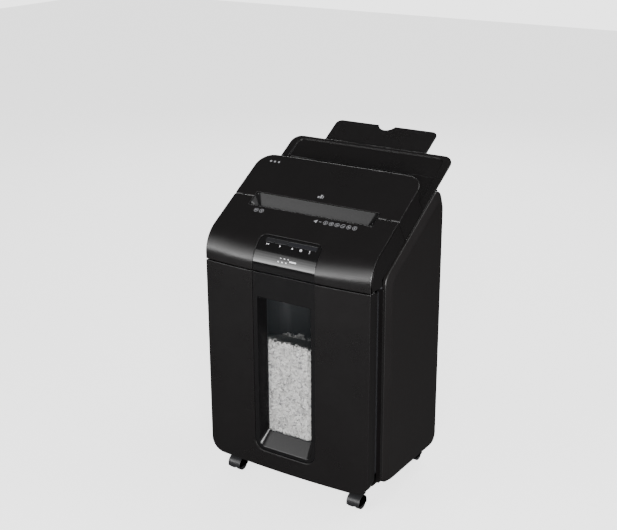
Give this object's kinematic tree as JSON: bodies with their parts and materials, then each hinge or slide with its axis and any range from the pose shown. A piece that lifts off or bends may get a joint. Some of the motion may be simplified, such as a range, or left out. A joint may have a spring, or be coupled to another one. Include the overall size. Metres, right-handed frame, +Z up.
{
  "type": "paper shredder",
  "caption": "Upright office paper shredder on twin-wheel casters with a pull-out windowed bin, hand-feed slot, lidded auto-feed tray and extending paper support.",
  "frame": {"origin": "centre of the bounding box on the floor, under the wheels", "axes": "+Z up; +Y to the back, away from the bin front; +X to the right seen from the front"},
  "size_m": [0.364, 0.3682, 0.6371],
  "materials": {
    "bright_steel": "turned steel",
    "bronze": "sintered bronze",
    "button_plastic": "black plastic with printed symbols",
    "cap_aluminium": "aluminium can",
    "casing_plastic": "satin black moulded plastic, slightly warmer",
    "caster_plastic": "black nylon",
    "circuit_board": "green laminate with components",
    "cutter_steel": "hardened steel, ground",
    "gear_nylon": "natural nylon",
    "gear_steel": "cut steel gear",
    "gloss_plastic": "polished black plastic",
    "inner_plastic": "matte dark grey moulded plastic",
    "lens_plastic": "smoked indicator window",
    "motor_steel": "grey painted steel can",
    "roller_rubber": "grey feed rubber",
    "sheet_steel": "zinc-plated sheet steel",
    "shell_plastic": "satin black moulded plastic",
    "shreds": "loose white paper particles",
    "switch_plastic": "black switch plastic",
    "tread": "black wheel tread",
    "window_plastic": "lightly smoked clear plastic"
  },
  "bodies": {
    "cabinet": {"base_pan": "casing_plastic", "bin_rails": "inner_plastic", "front_frame": "shell_plastic", "left_side_panel": "casing_plastic", "right_side_panel": "casing_plastic", "back_panel": "casing_plastic", "head_chassis": "inner_plastic", "head_cover": "shell_plastic", "console_fascia": "gloss_plastic", "indicator_lens": "lens_plastic", "control_board": "circuit_board", "feed_throat": "gloss_plastic", "paper_guides": "sheet_steel", "cutter_side_plates": "sheet_steel", "cutter_bushes": "bronze", "tie_rods": "bright_steel", "stripper_combs": "inner_plastic", "gear_pins": "bright_steel", "motor_housing": "motor_steel", "run_capacitor": "cap_aluminium", "power_board": "circuit_board", "lid_hinge_brackets": "sheet_steel", "lid_hinge_pins": "bright_steel", "paper_tray": "shell_plastic", "feed_shaft_bearings": "inner_plastic", "power_switch_housing": "switch_plastic", "cord_gland": "switch_plastic", "interlock_switches": "switch_plastic", "cabinet_screws": "bright_steel"},
    "bin": {"bin_tub": "inner_plastic", "bin_front_panel": "shell_plastic", "window_frame": "gloss_plastic", "window_lens": "window_plastic", "paper_shreds": "shreds", "bin_panel_screws": "bright_steel"},
    "lid": {"lid_shell": "shell_plastic", "pressure_springs": "bright_steel"},
    "pressure_plate": {"pressure_plate": "inner_plastic"},
    "paper_support": {"paper_support": "shell_plastic"},
    "rear_cutter": {"rear_cutter_drum": "cutter_steel", "rear_drum_gears": "gear_steel"},
    "front_cutter": {"front_cutter_drum": "cutter_steel", "front_drum_gear": "gear_steel"},
    "reduction": {"reduction_gear": "gear_nylon"},
    "motor_rotor": {"motor_shaft": "bright_steel"},
    "feed_idler": {"feed_idler_gear": "gear_nylon"},
    "feed_roller": {"feed_shaft": "bright_steel", "feed_rollers": "roller_rubber"},
    "reverse_button": {"reverse_button": "button_plastic"},
    "start_button": {"start_button": "button_plastic"},
    "power_rocker": {"power_rocker": "switch_plastic"},
    "caster_front_left": {"caster_fork_front_left": "caster_plastic"},
    "wheels_front_left": {"caster_wheels_front_left": "tread"},
    "caster_front_right": {"caster_fork_front_right": "caster_plastic"},
    "wheels_front_right": {"caster_wheels_front_right": "tread"},
    "caster_rear_left": {"caster_fork_rear_left": "caster_plastic"},
    "wheels_rear_left": {"caster_wheels_rear_left": "tread"},
    "caster_rear_right": {"caster_fork_rear_right": "caster_plastic"},
    "wheels_rear_right": {"caster_wheels_rear_right": "tread"}
  },
  "joints": [
    {"name": "bin_slide", "type": "slide", "parent": "cabinet", "child": "bin", "axis": [0, -1, 0], "range_m": [0, 0.23]},
    {"name": "lid_hinge", "type": "hinge", "parent": "cabinet", "child": "lid", "pos_m": [0, -0.07491, 0.53764], "axis": [1, 0, 0], "range_deg": [0, 60]},
    {"name": "pressure_plate_slide", "type": "slide", "parent": "lid", "child": "pressure_plate", "axis": [0, -0.5255, 0.8508], "range_m": [0, 0.012], "stiffness_N_per_m": 60, "springref_m": -0.02, "deforming": ["pressure_springs"]},
    {"name": "support_slide", "type": "slide", "parent": "cabinet", "child": "paper_support", "axis": [0, 0.8508, 0.5255], "range_m": [-0.06, 0]},
    {"name": "cutter_spin", "type": "hinge", "parent": "cabinet", "child": "rear_cutter", "pos_m": [0, -0.06613, 0.466], "axis": [1, 0, 0], "continuous": true},
    {"name": "front_cutter_spin", "type": "hinge", "parent": "cabinet", "child": "front_cutter", "pos_m": [0, -0.09613, 0.466], "axis": [1, 0, 0], "continuous": true},
    {"name": "reduction_spin", "type": "hinge", "parent": "cabinet", "child": "reduction", "pos_m": [0, -0.03026, 0.47127], "axis": [1, 0, 0], "continuous": true},
    {"name": "motor_spin", "type": "hinge", "parent": "cabinet", "child": "motor_rotor", "pos_m": [0, -0.00013, 0.464], "axis": [1, 0, 0], "continuous": true},
    {"name": "feed_idler_spin", "type": "hinge", "parent": "cabinet", "child": "feed_idler", "pos_m": [0, -0.02948, 0.47396], "axis": [1, 0, 0], "continuous": true},
    {"name": "feed_roller_spin", "type": "hinge", "parent": "cabinet", "child": "feed_roller", "pos_m": [0, -0.01315, 0.5035], "axis": [1, 0, 0], "continuous": true},
    {"name": "reverse_press", "type": "slide", "parent": "cabinet", "child": "reverse_button", "axis": [0, 0.6947, -0.7193], "range_m": [0, 0.0012], "stiffness_N_per_m": 400},
    {"name": "start_press", "type": "slide", "parent": "cabinet", "child": "start_button", "axis": [0, 0.6947, -0.7193], "range_m": [0, 0.0012], "stiffness_N_per_m": 400},
    {"name": "power_rock", "type": "hinge", "parent": "cabinet", "child": "power_rocker", "pos_m": [-0.118, 0.07287, 0.478], "axis": [1, 0, 0], "range_deg": [0, 20]},
    {"name": "swivel_front_left", "type": "hinge", "parent": "cabinet", "child": "caster_front_left", "pos_m": [-0.135, -0.13163, 0.05], "axis": [0, 0, 1], "continuous": true},
    {"name": "roll_front_left", "type": "hinge", "parent": "caster_front_left", "child": "wheels_front_left", "pos_m": [-0.135, -0.14763, 0.013], "axis": [1, 0, 0], "continuous": true},
    {"name": "swivel_front_right", "type": "hinge", "parent": "cabinet", "child": "caster_front_right", "pos_m": [0.135, -0.13163, 0.05], "axis": [0, 0, 1], "continuous": true},
    {"name": "roll_front_right", "type": "hinge", "parent": "caster_front_right", "child": "wheels_front_right", "pos_m": [0.135, -0.14763, 0.013], "axis": [1, 0, 0], "continuous": true},
    {"name": "swivel_rear_left", "type": "hinge", "parent": "cabinet", "child": "caster_rear_left", "pos_m": [-0.135, 0.05487, 0.05], "axis": [0, 0, 1], "continuous": true},
    {"name": "roll_rear_left", "type": "hinge", "parent": "caster_rear_left", "child": "wheels_rear_left", "pos_m": [-0.135, 0.07087, 0.013], "axis": [1, 0, 0], "continuous": true},
    {"name": "swivel_rear_right", "type": "hinge", "parent": "cabinet", "child": "caster_rear_right", "pos_m": [0.135, 0.05487, 0.05], "axis": [0, 0, 1], "continuous": true},
    {"name": "roll_rear_right", "type": "hinge", "parent": "caster_rear_right", "child": "wheels_rear_right", "pos_m": [0.135, 0.07087, 0.013], "axis": [1, 0, 0], "continuous": true}
  ],
  "couplings": [
    {"joint": "front_cutter_spin", "follows": "cutter_spin", "ratio": -1},
    {"joint": "reduction_spin", "follows": "cutter_spin", "ratio": -2.625},
    {"joint": "motor_spin", "follows": "cutter_spin", "ratio": 10.938},
    {"joint": "feed_idler_spin", "follows": "cutter_spin", "ratio": -0.5},
    {"joint": "feed_roller_spin", "follows": "cutter_spin", "ratio": 1.4286}
  ]
}
